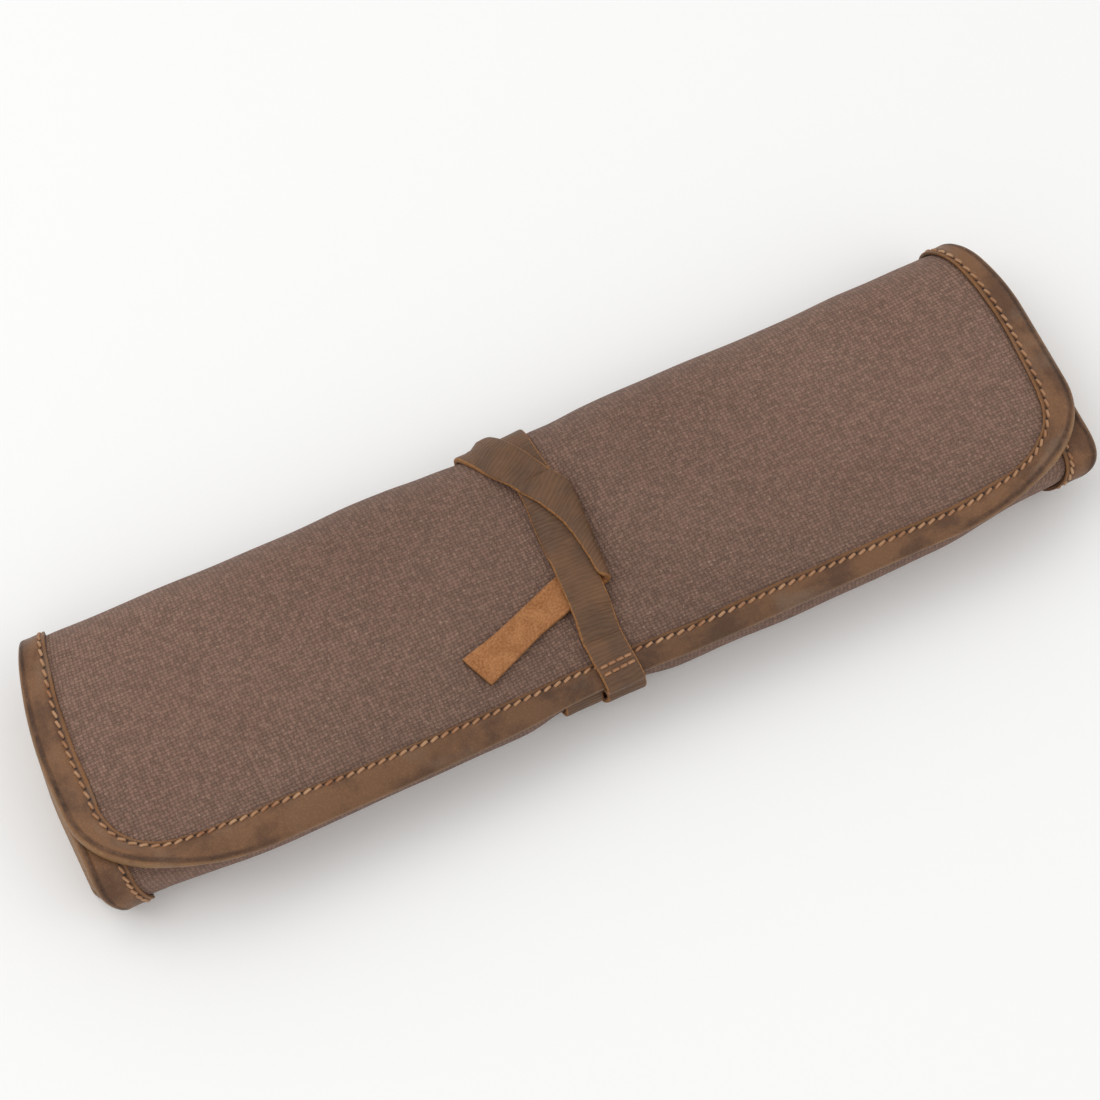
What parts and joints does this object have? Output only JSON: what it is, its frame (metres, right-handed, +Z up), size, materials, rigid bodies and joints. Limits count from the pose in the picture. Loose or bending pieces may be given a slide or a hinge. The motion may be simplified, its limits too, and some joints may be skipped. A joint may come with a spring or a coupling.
{
  "type": "artist brush roll",
  "caption": "Waxed canvas brush roll, rolled up flat, with leather-bound edges, a rounded flap and a leather strap wound round it and tucked under itself.",
  "frame": {"origin": "bottom centre of the bounding box, on the surface that the roll lies on", "axes": "+X along the roll to its right end as the picture shows it, the flap's free edge faces -Y, +Z up"},
  "size_m": [0.335, 0.097, 0.0343],
  "materials": {
    "waxed_canvas": "matte waxed plain weave",
    "binding_leather": "oiled pull-up leather, satin",
    "strap_leather": "oiled pull-up leather with a suede flesh side"
  },
  "bodies": {
    "root": {"canvas_roll": "waxed_canvas", "edge_binding": "binding_leather", "strap": "strap_leather"}
  },
  "joints": []
}
